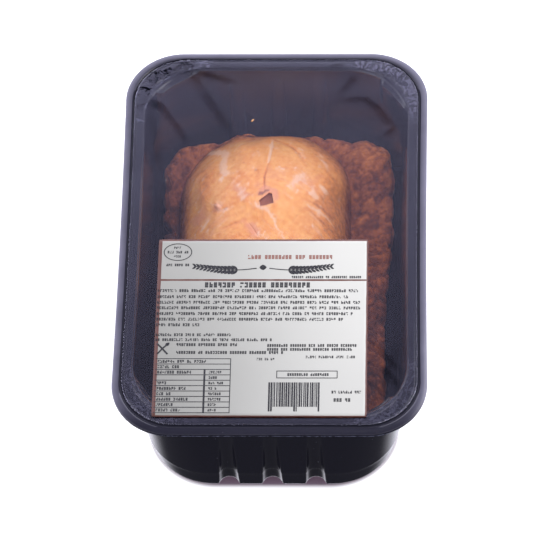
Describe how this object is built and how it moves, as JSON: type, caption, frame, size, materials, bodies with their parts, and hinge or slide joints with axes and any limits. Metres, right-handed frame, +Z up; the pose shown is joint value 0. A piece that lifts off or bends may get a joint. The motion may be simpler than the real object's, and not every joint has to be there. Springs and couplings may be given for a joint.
{
  "type": "packed raised meat pie",
  "caption": "Raised meat pie with a domed golden crust and crimped border, sealed in a deep black tray under clear film with a paper label.",
  "frame": {"origin": "on the ground under the middle of the tray", "axes": "+Z up; the tray's long side runs along Y, and -Y is the end that the label's foot points to"},
  "size_m": [0.148, 0.2236, 0.0697],
  "materials": {
    "tray_plastic": "thermoformed black sheet, satin gloss",
    "pie_crust": "baked pastry, egg-washed golden top and darker red-brown border",
    "lid_film": "clear glossy film with a slight haze",
    "label_paper": "off-white coated paper with a brown border and plain printed bars"
  },
  "bodies": {
    "root": {"tray": "tray_plastic", "pie": "pie_crust", "film": "lid_film", "label": "label_paper"}
  },
  "joints": []
}
